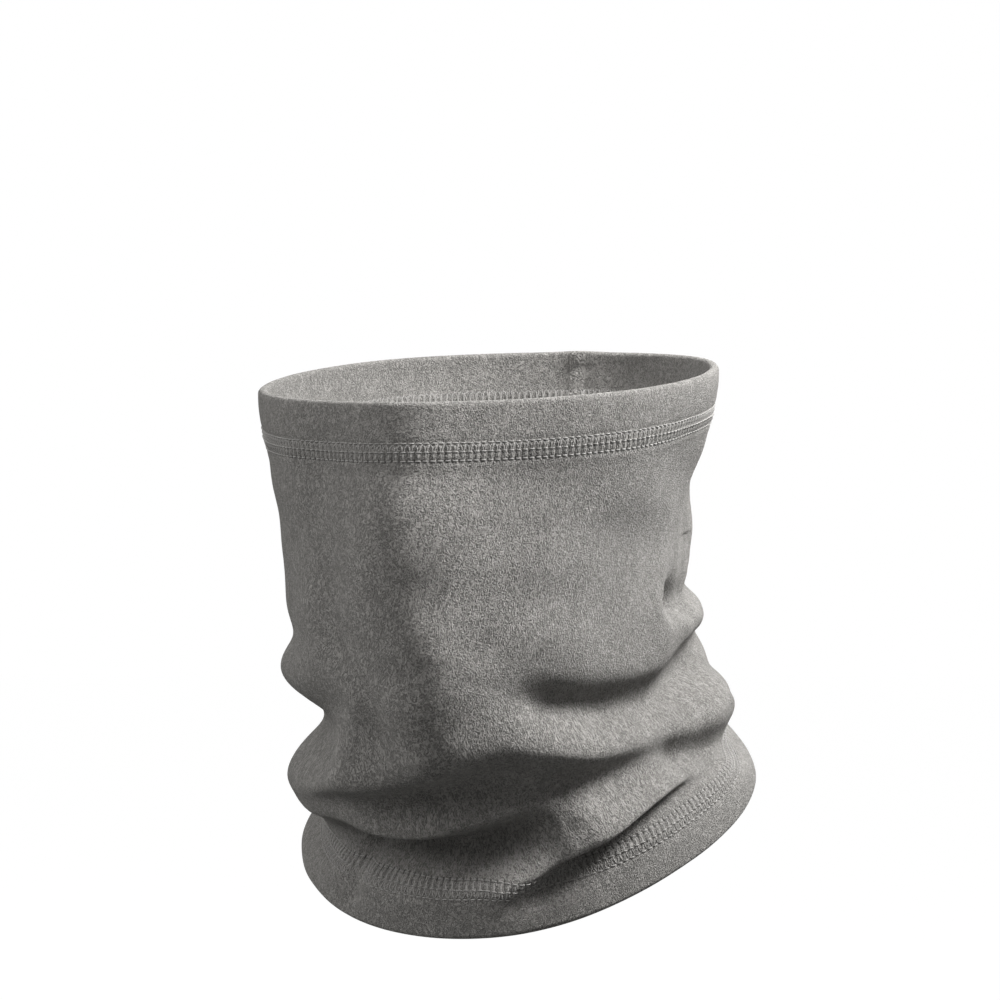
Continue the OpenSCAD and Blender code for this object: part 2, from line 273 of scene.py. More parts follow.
def smooth_path(points, steps=6):
    """Catmull-Rom curve through a fold's points."""
    p = np.array([points[0], *points, points[-1]], dtype=float)
    out = []
    for i in range(1, len(p) - 2):
        for k in range(steps):
            t = k / steps
            a, b, c, d = p[i - 1:i + 3]
            out.append(0.5 * (2 * b + (c - a) * t + (2 * a - 5 * b + 4 * c - d) * t * t
                              + (3 * b - a - 3 * c + d) * t ** 3))
    out.append(p[-2])
    return np.array(out)


def fold_offsets(angle, height):
    """How far out and how far down the folds move the cloth at an angle and height."""
    out = np.zeros_like(height)
    down = np.zeros_like(height)
    for fold in FOLDS.values():
        path = smooth_path(fold.path)
        middle = path[:, 0].mean()
        x = np.radians(wrapped(angle - middle)) * UNROLLED_RADIUS
        px = np.radians(path[:, 0] - middle) * UNROLLED_RADIUS
        pz = path[:, 1]
        reach = 3.0 * max(fold.above, fold.below)
        near = ((x > px.min() - reach) & (x < px.max() + reach)
                & (height > pz.min() - reach) & (height < pz.max() + reach))
        xs, zs = x[near][:, None], height[near][:, None]
        if xs.size == 0:
            continue
        dx, dz = np.diff(px), np.diff(pz)
        length2 = dx * dx + dz * dz
        t = np.clip(((xs - px[:-1]) * dx + (zs - pz[:-1]) * dz) / length2, 0, 1)
        gap2 = (xs - px[:-1] - t * dx) ** 2 + (zs - pz[:-1] - t * dz) ** 2
        best = gap2.argmin(axis=1)
        pick = np.arange(len(best))
        t, gap = t[pick, best], np.sqrt(gap2[pick, best])
        strength = path[best, 2] + t * (path[best + 1, 2] - path[best, 2])
        side = dx[best] * (zs[:, 0] - pz[best]) - dz[best] * (xs[:, 0] - px[best])
        spread = np.where(side > 0, fold.above, fold.below)
        hill = strength * np.exp(-(gap / spread) ** 2)
        out[near] += fold.out * hill
        down[near] += fold.sag * hill
    return out, down


def form_normal(angle, share):
    da, ds = 0.5, 0.004
    low, high = np.clip(share - ds, 0, 1), np.clip(share + ds, 0, 1)
    fall = worn_form(angle, high) - worn_form(angle, low)
    round_ = worn_form(angle + da, share) - worn_form(angle - da, share)
    return unit(np.cross(fall, round_))


def needle_rows():
    """Distances of the three needle rows from a hem's folded edge."""
    c, s = cloth_settings(), bpy.context.scene.gaiter_stitch
    last = c.hem_depth - s.raw_margin
    return [last - s.gauge, last - s.gauge / 2, last]


def hem_relief(distance):
    """How far the hem's outer face stands out: padded by its second ply, and drawn in by each row."""
    c = cloth_settings()
    relief = 0.6 * ease((c.hem_depth + 3.0 - distance) / 6.0) + 0.2 * bump(distance, 6.0, 5.0)
    for row in needle_rows():
        relief = relief - 0.4 * bump(distance, row, 0.8)
    return relief


def ripples(angle, height):
    """Slight unevenness of soft cloth: overlapping waves, a few centimetres long."""
    x = np.radians(angle) * UNROLLED_RADIUS
    waves = np.zeros_like(height)
    for length, lean, phase, size in ((61, 0.4, 0.3, 0.55), (43, -0.8, 2.1, 0.45), (31, 1.3, 4.0, 0.35),
                                      (23, -0.2, 5.2, 0.22), (17, 2.2, 1.1, 0.16)):
        round_turns = max(1, round(2 * math.pi * UNROLLED_RADIUS * math.cos(lean) / length))
        waves = waves + size * np.sin(
            round_turns * np.radians(angle) + 2 * math.pi * math.sin(lean) / length * height + phase
            + 0.8 * np.sin(height / 27.0 + phase) + 0.5 * np.sin(np.radians(angle) * 2 + phase))
    return waves


def seam_relief(angle, height):
    """The back seam draws the cloth in along a line, with small puckers beside it."""
    x = np.radians(wrapped(angle - 180.0)) * UNROLLED_RADIUS
    pucker = 0.35 * np.sin(height * 2 * math.pi / 8.5 + 1.5 * np.sin(height / 19.0)) * bump(x, 0, 7.0)
    return pucker - 1.3 * bump(x, 0, 1.3)


def worn_drop(angle):
    """Height from the rim to the bottom edge, in mm."""
    return rim_height(angle) - edge_height(angle)


def cloth_face(angle, share):
    """A point of the cloth's outer face, in mm."""
    angle, share = np.broadcast_arrays(np.asarray(angle, float), np.asarray(share, float))
    form = worn_form(angle, share)
    out, down = fold_offsets(angle, form[..., 2])
    from_seam = np.radians(wrapped(angle - 180.0)) * UNROLLED_RADIUS
    stiffness = 1.0 - 0.5 * bump(from_seam, 0.0, 12.0)
    out, down = out * stiffness, down * stiffness
    height = form[..., 2]
    worn = worn_drop(angle)
    edge_distance = np.minimum(share, 1 - share) * worn
    out = (out * ease(share * worn / 30.0) + hem_relief(edge_distance)
           + ripples(angle, height) * (0.25 + 0.75 * ease(edge_distance / 40.0))
           + seam_relief(angle, height))
    point = form + form_normal(angle, share) * out[..., None]
    point[..., 2] -= down
    return point


def cloth_normal(angle, share):
    da, ds = 0.6, 0.004
    low, high = np.clip(share - ds, 0, 1), np.clip(share + ds, 0, 1)
    fall = cloth_face(angle, high) - cloth_face(angle, low)
    round_ = cloth_face(angle + da, share) - cloth_face(angle - da, share)
    return unit(np.cross(fall, round_))


# ---------------------------------------------------------------- meshes

def add_object(name, mesh):
    obj = bpy.data.objects.new(name, mesh)
    bpy.context.scene.collection.objects.link(obj)
    for face in mesh.polygons:
        face.use_smooth = True
    return obj


def cloth_mesh(name, points, uvs):
    """A sheet of faces through a grid of points in mm, welded where it closes on itself.

    uvs maps the name of each UV map to its grid of points.
    """
    n, m = points.shape[:2]
    bm = bmesh.new()
    bmesh.ops.create_grid(bm, x_segments=n - 1, y_segments=m - 1, size=1.0)
    mesh = bpy.data.meshes.new(name)
    bm.to_mesh(mesh)
    bm.free()
    co = np.empty(len(mesh.vertices) * 3)
    mesh.vertices.foreach_get("co", co)
    co = co.reshape(-1, 3)
    i = np.rint((co[:, 0] + 1) / 2 * (n - 1)).astype(int)
    j = np.rint((co[:, 1] + 1) / 2 * (m - 1)).astype(int)
    mesh.vertices.foreach_set("co", (points[i, j] * MM).ravel())
    corner = np.empty(len(mesh.loops), dtype=int)
    mesh.loops.foreach_get("vertex_index", corner)
    for uv_name, uv in uvs.items():
        layer = mesh.uv_layers.new(name=uv_name)
        layer.data.foreach_set("uv", uv[i[corner], j[corner]].ravel())
    bm = bmesh.new()
    bm.from_mesh(mesh)
    bmesh.ops.remove_doubles(bm, verts=bm.verts, dist=2e-6)
    bmesh.ops.recalc_face_normals(bm, faces=bm.faces)
    bm.to_mesh(mesh)
    bm.free()
    return mesh


def in_cloth(angle, share, depth):
    """Points so deep inside the outer face."""
    return cloth_face(angle, share) - cloth_normal(angle, share) * np.asarray(depth)[..., None]


def fleece_section():
    """Rows of the closed section: (distance from the rim or None, distance from the bottom edge, depth).

    The section goes down the outer face, round the bottom fold, up the turned ply and back between the
    plies, up the inner face and round the top hem in the same way.
    """
    c = cloth_settings()
    thick = 2 * c.ply + PLY_GAP
    r = thick / 2
    fold = [(r - r * math.sin(a), r - r * math.cos(a)) for a in np.radians((18, 54, 90, 126, 162))]
    hem = [
        *fold,
        *((d, thick) for d in np.linspace(r, c.hem_depth, 9)),
        (c.hem_depth + 0.35, thick - 0.5), (c.hem_depth + 0.35, c.ply + PLY_GAP + 0.5),
        *((d, c.ply + PLY_GAP) for d in np.linspace(c.hem_depth, 2.6, 4)),
        (1.9, c.ply + PLY_GAP / 2),
        *((d, c.ply) for d in np.linspace(2.6, c.hem_depth, 4)),
    ]
    outer = np.linspace(r, c.hem_depth + 3.0, 24)
    return hem, outer


def fleece_grid(angle):
    """Shares of the way down and depths of every row of the section, for each angle."""
    hem, outer = fleece_section()
    worn = worn_drop(angle)
    top, bottom = outer[-1] / worn, 1 - outer[-1] / worn
    rows = [(d / worn, 0.0) for d in outer]
    rows += [(top + (bottom - top) * k / BODY_STEPS, 0.0) for k in range(1, BODY_STEPS)]
    rows += [(1 - d / worn, 0.0) for d in outer[::-1]]
    rows += [(1 - d / worn, depth) for d, depth in hem]
    ply = cloth_settings().ply
    rows += [(top + (bottom - top) * k / BODY_STEPS, ply) for k in range(BODY_STEPS - 1, 0, -2)]
    rows += [(d / worn, depth) for d, depth in hem[::-1]]
    share = np.stack([np.broadcast_to(s, angle.shape) for s, _ in rows], axis=1)
    depth = np.array([d for _, d in rows])
    return share, np.broadcast_to(depth, share.shape)


def cloth_length(points):
    """Running length along the second axis of a grid of points."""
    step = np.linalg.norm(np.diff(points, axis=1), axis=-1)
    return np.concatenate([np.zeros((len(points), 1)), np.cumsum(step, axis=1)], axis=1)


def sewn_uv(angle, share, depth):
    """Stitch number round the hem and distance from its folded edge, for the needles' dents and the painted
    shade in them.
    """
    pitch = bpy.context.scene.gaiter_stitch.pitch
    worn = worn_drop(angle)[:, None]
    at_top = share < 0.5
    number = np.empty_like(share)
    for top in (True, False):
        at, count = stitch_angles(needle_rows()[1], top, pitch)
        numbers = np.linspace(0, count, 4 * count + 1)
        angles = at(numbers[:-1])
        column = np.interp(angle, np.append(angles, 180.0), numbers)
        number = np.where(at_top == top, column[:, None], number)
    distance = np.where(at_top, share, 1 - share) * worn
    return np.stack([number, np.where(depth > 0, 0.0, distance)], axis=-1)


def seam_turn(across):
    """Angle that takes a point across mm along the inside of the back seam's cloth."""
    return np.degrees(across / UNROLLED_RADIUS)


def seam_point(across, run, depth):
    """A point in mm beside the back seam, run mm below the top hem's raw edge."""
    angle = 180.0 + seam_turn(np.asarray(across, float))
    share = (cloth_settings().hem_depth + run) / worn_drop(180.0)
    return in_cloth(angle, share, depth)


def seam_length():
    return worn_drop(180.0) - 2 * cloth_settings().hem_depth


def allowance_depths():
    """Depths of the seam allowance's near face, the parting of its plies, and its far face."""
    ply = cloth_settings().ply
    near = ply + SEAM_GAP
    return near, near + ply, near + 2 * ply + PLY_GAP


def allowance_points():
    """The allowance's two plies and the bend that joins them to the tube, as a grid with closed ends."""
    width = bpy.context.scene.gaiter_stitch.allowance
    near, parting, far = allowance_depths()
    loop = [(0.8, near - 1.1), (1.3, near), *((w, near) for w in np.linspace(2.0, width - 0.7, 5)),
            (width - 0.1, near + 0.4), (width - 0.1, parting - 0.4), (width - 0.7, parting + 0.1),
            (width - 0.1, parting + 0.6), (width - 0.1, far - 0.4),
            *((w, far) for w in np.linspace(width - 0.7, 0.5, 6)), (-0.5, far - 0.5), (-0.9, parting),
            (-0.8, near - 1.1), (0.8, near - 1.1)]
    across, depth = np.array(loop).T
    margin = 1.5
    run = np.linspace(margin, seam_length() - margin, 150)[:, None]
    grid = seam_point(across + 0 * run, run + 0 * across, depth + 0 * run)
    ends = [np.repeat(grid[k].mean(axis=0)[None], grid.shape[1], axis=0)[None] for k in (0, -1)]
    return np.concatenate([ends[0], grid, ends[1]])


class GAITER_OT_fleece(bpy.types.Operator):
    """Shape the fleece tube with its two turned hems and its seam allowance"""
    bl_idname = "gaiter.fleece"
    bl_label = "Fleece Tube"

    def execute(self, context):
        c = cloth_settings()
        angle = np.linspace(-180.0, 180.0, c.columns + 1)
        share, depth = fleece_grid(angle)
        section = in_cloth(np.repeat(angle[:, None], share.shape[1], axis=1), share, depth)
        section = np.concatenate([section, section[:, :1]], axis=1)
        down = cloth_length(section).mean(axis=0)
        round_ = (angle + 180.0) / 360.0 * CUT_WIDTH
        uv = np.stack(np.meshgrid(round_, down, indexing="ij"), axis=-1) * MM
        stitch_shade_uv = sewn_uv(angle, share, depth)
        stitch_shade_uv = np.concatenate([stitch_shade_uv, stitch_shade_uv[:, :1]], axis=1)
        tube = cloth_mesh("fleece_tube", section, {"ClothUV": uv, "HemUV": stitch_shade_uv})
        seam = allowance_points()
        seam_uv = np.stack([cloth_length(seam), cloth_length(seam.swapaxes(0, 1)).T], axis=-1) * MM
        strip = cloth_mesh("allowance", seam, {"ClothUV": seam_uv, "HemUV": np.zeros_like(seam_uv)})
        bm = bmesh.new()
        for mesh in (tube, strip):
            bm.from_mesh(mesh)
        bm.to_mesh(tube)
        bm.free()
        bpy.data.meshes.remove(strip)
        obj = add_object("fleece_tube", tube)
        obj.data.materials.append(microfleece())
        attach(obj, "root")
        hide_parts("fleece_panel")
        return {"FINISHED"}


# ---------------------------------------------------------------- stitching

def stitch_angles(distance, at_top, pitch):
    """The angle at each stitch of a row, as a function of the stitch's number, and their count."""
    angle = np.linspace(-180.0, 180.0, 1441)
    ring = cloth_face(angle, hem_share(angle, distance, at_top))
    run = cloth_length(ring[None])[0]
    count = int(round(run[-1] / pitch))
    return (lambda number: np.interp(np.mod(number, count) / count * run[-1], run, angle)), count


def hem_share(angle, distance, at_top):
    share = distance / worn_drop(angle)
    return share if at_top else 1 - share


def thread_mesh(name, points, diameter, cyclic):
    """A thread of round section through points in mm."""
    curve = bpy.data.curves.new(name, "CURVE")
    curve.dimensions = "3D"
    curve.bevel_depth = diameter / 2 * MM
    curve.bevel_resolution = 1
    curve.use_fill_caps = not cyclic
    spline = curve.splines.new("POLY")
    spline.points.add(len(points) - 1)
    spline.points.foreach_set("co", np.c_[points * MM, np.ones(len(points))].ravel())
    spline.use_cyclic_u = cyclic
    holder = bpy.data.objects.new(name, curve)
    bpy.context.scene.collection.objects.link(holder)
    graph = bpy.context.evaluated_depsgraph_get()
    mesh = bpy.data.meshes.new_from_object(holder.evaluated_get(graph))
    mesh.name = name
    bpy.data.objects.remove(holder)
    bpy.data.curves.remove(curve)
    return mesh


def add_thread(name, points, cyclic=True, thickness=1.0):
    s = bpy.context.scene.gaiter_stitch
    obj = add_object(name, thread_mesh(name, points, s.thread * thickness, cyclic))
    obj.data.materials.append(polyester_thread())
    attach(obj, "root")
    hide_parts(name)
    return obj


class GAITER_OT_hem_stitches(bpy.types.Operator):
    """Sew both hems with three-needle coverstitch"""
    bl_idname = "gaiter.hem_stitches"
    bl_label = "Hem Coverstitch"

    def execute(self, context):
        s = context.scene.gaiter_stitch
        c = cloth_settings()
        rows = needle_rows()
        inside = -(2 * c.ply + PLY_GAP)
        for hem, at_top in (("top_hem", True), ("bottom_hem", False)):
            at, count = stitch_angles(rows[1], at_top, s.pitch)
            number = np.arange(count)[:, None]

            def sewn(steps):
                """Points of a thread whose every stitch repeats steps of (along, distance, lift)."""
                steps = np.array(steps)
                angle = at((number + steps[:, 0]).ravel())
                distance = np.tile(steps[:, 1], count)
                lift = np.tile(steps[:, 2], count)
                return in_cloth(angle, hem_share(angle, distance, at_top), -lift)

            for k, (row, rise) in enumerate(zip(rows, NEEDLE_RISES)):
                stitch = [(0.00, row, -0.8), (0.18, row, -0.05), (0.32, row, 0.9 * rise),
                          (0.50, row, rise), (0.68, row, 0.9 * rise), (0.82, row, -0.05)]
                add_thread(f"{hem}_needle_thread_{k + 1}", sewn(stitch))
            first, middle, last = rows
            upper, lower = (first + middle) / 2, (middle + last) / 2
            cover = [(0.02, first + 0.3, -0.15), (0.14, first + 0.6, 0.02), (0.30, upper, 0.10),
                     (0.40, middle, 0.0), (0.46, lower, 0.08), (0.50, last, -0.1),
                     (0.54, lower, 0.08), (0.60, middle, 0.0), (0.72, upper, 0.10),
                     (0.90, first + 0.6, 0.02)]
            add_thread(f"{hem}_cover_thread", sewn(cover), thickness=0.8)
            looper = [(a, d, inside - 0.1 - h) for a, d, h in cover]
            add_thread(f"{hem}_looper_thread", sewn(looper))
        return {"FINISHED"}


class GAITER_OT_back_seam(bpy.types.Operator):
    """Overlock the back seam's allowance with two needle threads and two looper threads"""
    bl_idname = "gaiter.back_seam"
    bl_label = "Back Seam Overlock"

    def execute(self, context):
        s = context.scene.gaiter_stitch
        near, parting, far = allowance_depths()
        margin, edge = 3.0, s.allowance + 0.25
        count = int((seam_length() - 2 * margin) / s.pitch)

        def sewn(steps):
            """Points of a thread whose every stitch repeats steps of (along, across, depth)."""
            steps = np.array(steps)
            run = margin + (np.arange(count)[:, None] + steps[:, 0]).ravel() * s.pitch
            return seam_point(np.tile(steps[:, 1], count), run, np.tile(steps[:, 2], count))

        for k, row in enumerate(OVERLOCK_ROWS):
            stitch = [(0.0, row, far - 0.5), (0.25, row, far + 0.25), (0.5, row, far + 0.35),
                      (0.75, row, far + 0.25)]
            add_thread(f"back_seam_needle_thread_{k + 1}", sewn(stitch), cyclic=False)
        for name, low, face in (("upper", OVERLOCK_ROWS[0], far + 0.75), ("lower", 1.8, near - 0.3)):
            loop = [(0.0, low, face), (0.25, (low + edge) / 2, face), (0.45, edge - 0.5, face),
                    (0.5, edge, parting + 0.3 * (face - parting)), (0.55, edge - 0.5, face),
                    (0.75, (low + edge) / 2, face)]
            add_thread(f"back_seam_{name}_looper_thread", sewn(loop), cyclic=False)
        return {"FINISHED"}


class GAITER_OT_care_label(bpy.types.Operator):
    """Catch the blank, folded care label in the back seam above the bottom hem"""
    bl_idname = "gaiter.care_label"
    bl_label = "Care Label"

    def execute(self, context):
        label = context.scene.gaiter_label
        near = cloth_settings().ply + SEAM_GAP
        far = near + LABEL_FOLD
        t = label.ribbon
        length = label.length
        runs = np.linspace(0.6, length - 1.0, 14)
        # Out along the lower ply's outside, round the fold, and back along its inside.
        loop = [*((r, near) for r in runs), (length - 0.3, near + 0.25), (length, (near + far) / 2),
                (length - 0.3, far - 0.25), *((r, far) for r in runs[::-1]),
                *((r, far - t) for r in runs), (length - 0.3 - t, (near + far) / 2),
                *((r, near + t) for r in runs[::-1])]
        run, depth = np.array([*loop, loop[0]]).T
        low = seam_length() - LABEL_UP
        rows = np.linspace(low - label.width, low, 12)[:, None]
        lift = 1.2 * ease(run / length) * np.sin(np.pi * (rows - low) / label.width)
        grid = seam_point(-run + 0 * rows, rows + 0 * run, depth - lift)
        uv = np.stack([rows + 0 * run, run + 0 * rows], axis=-1) * MM
        mesh = cloth_mesh("care_label", grid, {"ClothUV": uv})
        bm = bmesh.new()
        bm.from_mesh(mesh)
        bmesh.ops.holes_fill(bm, edges=[e for e in bm.edges if e.is_boundary])
        bmesh.ops.recalc_face_normals(bm, faces=bm.faces)
        bm.to_mesh(mesh)
        bm.free()
        obj = add_object("care_label", mesh)
        obj.data.materials.append(woven_ribbon())
        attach(obj, "root")
        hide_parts("care_label")
        return {"FINISHED"}


# ---------------------------------------------------------------- materials

def node(tree, kind, settings=None, links=None, **inputs):
    """Add a shader node.

    settings are its attributes, inputs its socket values, and links the sources of its sockets.
    """
    n = tree.nodes.new(kind)
    for key, value in (settings or {}).items():
        setattr(n, key, value)
    for key, value in inputs.items():
        n.inputs[key.replace("_", " ")].default_value = value
    for key, source in (links or {}).items():
        tree.links.new(source, n.inputs[key])
    return n


def new_material(name):
    m = bpy.data.materials.new(name)
    m.use_nodes = True
    m.node_tree.nodes.clear()
    tree = m.node_tree
    shader = tree.nodes.new("ShaderNodeBsdfPrincipled")
    output = tree.nodes.new("ShaderNodeOutputMaterial")
    tree.links.new(shader.outputs[0], output.inputs[0])
    return m, tree, shader


def polyester_thread():
    # Textured polyester sewing thread: twisted filaments with a slight gloss, a little paler than
    # the fleece.
    m = bpy.data.materials.get("polyester_thread_twisted_grey")
    if m:
        return m
    m, tree, shader = new_material("polyester_thread_twisted_grey")
    place = node(tree, "ShaderNodeTexCoord")
    fibres = node(tree, "ShaderNodeTexNoise", links={"Vector": place.outputs["Object"]},
                  Scale=2600.0, Detail=2.0, Roughness=0.6)
    shade = node(tree, "ShaderNodeMapRange", links={"Value": fibres.outputs[0]},
                 From_Min=0.3, From_Max=0.7, To_Min=0.8, To_Max=1.2)
    colour = node(tree, "ShaderNodeVectorMath", {"operation": "SCALE"}, {"Scale": shade.outputs[0]})
    colour.inputs[0].default_value = linear(bpy.context.scene.gaiter_stitch.thread_hex)[:3]
    tree.links.new(colour.outputs[0], shader.inputs["Base Color"])
    relief = node(tree, "ShaderNodeBump", links={"Height": fibres.outputs[0]},
                  Strength=0.5, Distance=0.0001)
    tree.links.new(relief.outputs[0], shader.inputs["Normal"])
    shader.inputs["Roughness"].default_value = 0.55
    shader.inputs["Specular IOR Level"].default_value = 0.4
    shader.inputs["Sheen Weight"].default_value = 0.2
    return m


def microfleece():
    # Brushed and sheared polyester microfleece: a matt, light-scattering nap whose fibres have pilled
    # into short wormy tufts about a millimetre long. The colour follows the tufts' height: partly the
    # fibres' own tone, and partly painted highlight on the tufts' tops and painted shade in the gaps.
    # Where the hems are sewn, the needles leave holes and the threads press the nap into short ladder
    # steps; the colour is darkened there as painted shade in the holes and between the steps.
    m, tree, shader = new_material("microfleece_brushed_grey")
    c, s = cloth_settings(), bpy.context.scene.gaiter_stitch

    def math_node(operation, first, second=0.0):
        n = node(tree, "ShaderNodeMath", {"operation": operation})
        for socket, value in zip(n.inputs, (first, second)):
            if isinstance(value, bpy.types.NodeSocket):
                tree.links.new(value, socket)
            else:
                socket.default_value = value
        return n.outputs[0]

    def levels(value, low, high, to_low, to_high):
        n = node(tree, "ShaderNodeMapRange", {"interpolation_type": "SMOOTHSTEP"}, {"Value": value},
                 From_Min=low, From_Max=high, To_Min=to_low, To_Max=to_high)
        return n.outputs[0]

    uv = node(tree, "ShaderNodeUVMap", {"uv_map": "ClothUV"})
    scale = node(tree, "ShaderNodeMapping", links={"Vector": uv.outputs[0]})
    scale.inputs["Scale"].default_value = (1 / (TUFT_SIZE[0] * MM), 1 / (TUFT_SIZE[1] * MM), 1.0)
    tufts = node(tree, "ShaderNodeTexNoise", {"noise_dimensions": "2D"},
                 {"Vector": scale.outputs[0]}, Scale=1.0, Detail=1.5, Roughness=0.6, Distortion=0.9)
    worms = math_node("ABSOLUTE", math_node("SUBTRACT", tufts.outputs[0], 0.5))
    fine = node(tree, "ShaderNodeTexNoise", {"noise_dimensions": "2D"},
                {"Vector": scale.outputs[0]}, Scale=2.1, Detail=1.0, Roughness=0.5, Distortion=0.6)
    patches = node(tree, "ShaderNodeTexNoise", {"noise_dimensions": "2D"},
                   {"Vector": scale.outputs[0]}, Scale=0.12, Detail=3.0, Roughness=0.55)
    # The tufts' height: the bump's relief, and also the colour's painted highlight on the tufts and painted
    # shade in their gaps.
    nap_relief_and_shade = math_node("ADD", levels(worms, 0.0, 0.14, 0.6, 0.0), levels(fine.outputs[0], 0.3, 0.7, 0.0, 0.4))

    sewn = node(tree, "ShaderNodeUVMap", {"uv_map": "HemUV"})
    place = node(tree, "ShaderNodeSeparateXYZ", links={"Vector": sewn.outputs[0]})
    number, distance = place.outputs["X"], place.outputs["Y"]
    along_stitch = math_node("PINGPONG", number, 0.5)
    needle_place = levels(along_stitch, 0.06, 0.2, 1.0, 0.0)
    rows = needle_rows()
    hole_row = levels(math_node("ABSOLUTE", math_node("SUBTRACT", distance, rows[2])), 0.3, 0.8, 1.0, 0.0)
    middle = (rows[1] + rows[2]) / 2
    ladder_row = levels(math_node("ABSOLUTE", math_node("SUBTRACT", distance, middle)), 0.9, 1.6, 0.5, 0.0)
    # Where the needles pass: dents in the relief, and painted shade in the colour.
    stitch_dents_and_shade = math_node("MULTIPLY", needle_place, math_node("MAXIMUM", hole_row, ladder_row))

    # Colour: the tufts' height painted as highlight on their tops and shade in their gaps, partly the
    # fibres' own tone, times random patches of tone.
    shade = math_node("MULTIPLY", levels(nap_relief_and_shade, 0.1, 0.9, 0.55, 1.42),
                      levels(patches.outputs[0], 0.3, 0.7, 0.94, 1.06))
    # Painted shade: the colour is darkened in the needle holes and between the ladder steps.
    shade = math_node("MULTIPLY", shade, levels(stitch_dents_and_shade, 0.0, 1.0, 1.0, 0.45))
    colour = node(tree, "ShaderNodeVectorMath", {"operation": "SCALE"}, {"Scale": shade})
    colour.inputs[0].default_value = linear(c.fleece_hex)[:3]
    tree.links.new(colour.outputs[0], shader.inputs["Base Color"])
    height = math_node("SUBTRACT", nap_relief_and_shade, stitch_dents_and_shade)
    relief = node(tree, "ShaderNodeBump", links={"Height": height}, Strength=0.8, Distance=0.0007)
    tree.links.new(relief.outputs[0], shader.inputs["Normal"])
    shader.inputs["Roughness"].default_value = 1.0
    shader.inputs["Specular IOR Level"].default_value = 0.15
    shader.inputs["Sheen Weight"].default_value = 0.35
    shader.inputs["Sheen Roughness"].default_value = 0.55
    shader.inputs["Sheen Tint"].default_value = linear("#C9C7C3")
    return m


def woven_ribbon():
    # Blank label ribbon of satin-woven polyester: fine ribs across it, a soft gloss, no printing.
    m, tree, shader = new_material("woven_ribbon_satin_white")
    uv = node(tree, "ShaderNodeUVMap", {"uv_map": "ClothUV"})
    ribs = node(tree, "ShaderNodeTexWave", {"bands_direction": "Y", "wave_profile": "SIN"},
                {"Vector": uv.outputs[0]}, Scale=1000 / RIB_SPACING / 6.28, Distortion=0.4)
    shade = node(tree, "ShaderNodeMapRange", links={"Value": ribs.outputs[1]}, To_Min=0.86, To_Max=1.0)
    colour = node(tree, "ShaderNodeVectorMath", {"operation": "SCALE"}, {"Scale": shade.outputs[0]})
    colour.inputs[0].default_value = linear(bpy.context.scene.gaiter_label.label_hex)[:3]
    tree.links.new(colour.outputs[0], shader.inputs["Base Color"])
    relief = node(tree, "ShaderNodeBump", links={"Height": ribs.outputs[1]}, Strength=0.4, Distance=0.0001)
    tree.links.new(relief.outputs[0], shader.inputs["Normal"])
    shader.inputs["Roughness"].default_value = 0.5
    shader.inputs["Sheen Weight"].default_value = 0.2
    return m


# ---------------------------------------------------------------- stage

# Each light's direction from the camera's, its elevation, its distance in m from the tube's middle,
# the width of its soft box in m, and its power in W.
SoftBox = namedtuple("SoftBox", "azimuth elevation distance width power")

SOFT_BOXES = {
    "key": SoftBox(72, 48, 0.75, 0.3, 13.5),
    "fill": SoftBox(-62, 28, 1.8, 1.2, 18),
    "back": SoftBox(150, 40, 1.6, 0.9, 10),
}
TUBE_MIDDLE = (0, 0, -0.09)  # m
CAMERA_AIM = (0.0032, -0.0431)  # m, to the camera's right and up, from the head opening's middle


def add_camera(scene, settings):
    camera = bpy.data.cameras.new("camera")
    camera.lens = settings.lens
    camera.sensor_width = 36.0
    eye = bpy.data.objects.new("camera", camera)
    scene.collection.objects.link(eye)
    az = settings.camera_azimuth
    right = Vector((math.cos(az), math.sin(az), 0))
    eye.location = Vector((math.sin(az), -math.cos(az), 0)) * settings.camera_distance
    aim = right * CAMERA_AIM[0] + Vector((0, 0, CAMERA_AIM[1]))
    eye.rotation_euler = (aim - eye.location).to_track_quat("-Z", "Y").to_euler()
    scene.camera = eye


def add_world(scene):
    # The studio's walls light the cloth softly from above and hardly from below, and look white.
    world = bpy.data.worlds.new("studio")
    scene.world = world
    world.use_nodes = True
    tree = world.node_tree
    tree.nodes.clear()
    place = node(tree, "ShaderNodeTexCoord")
    split = node(tree, "ShaderNodeSeparateXYZ", links={"Vector": place.outputs["Generated"]})
    level = node(tree, "ShaderNodeMapRange", links={"Value": split.outputs["Z"]},
                 From_Min=-0.35, From_Max=0.9, To_Min=0.10, To_Max=0.62)
    ray = node(tree, "ShaderNodeLightPath")
    seen = node(tree, "ShaderNodeMix", {"data_type": "FLOAT"},
                {"Factor": ray.outputs["Is Camera Ray"], 2: level.outputs[0]})
    seen.inputs[3].default_value = 1.0
    backdrop = node(tree, "ShaderNodeBackground", links={"Strength": seen.outputs[0]})
    backdrop.inputs[0].default_value = (1, 1, 1, 1)
    node(tree, "ShaderNodeOutputWorld", links={0: backdrop.outputs[0]})


def add_soft_box(scene, name, box, camera_azimuth):
    light = bpy.data.lights.new(name, "AREA")
    light.shape = "DISK"
    light.size = box.width
    light.energy = box.power
    lamp = bpy.data.objects.new(name, light)
    scene.collection.objects.link(lamp)
    a, e = camera_azimuth + math.radians(box.azimuth), math.radians(box.elevation)
    middle = Vector(TUBE_MIDDLE)
    lamp.location = middle + box.distance * Vector(
        (math.sin(a) * math.cos(e), -math.cos(a) * math.cos(e), math.sin(e)))
    lamp.rotation_euler = (middle - lamp.location).to_track_quat("-Z", "Y").to_euler()


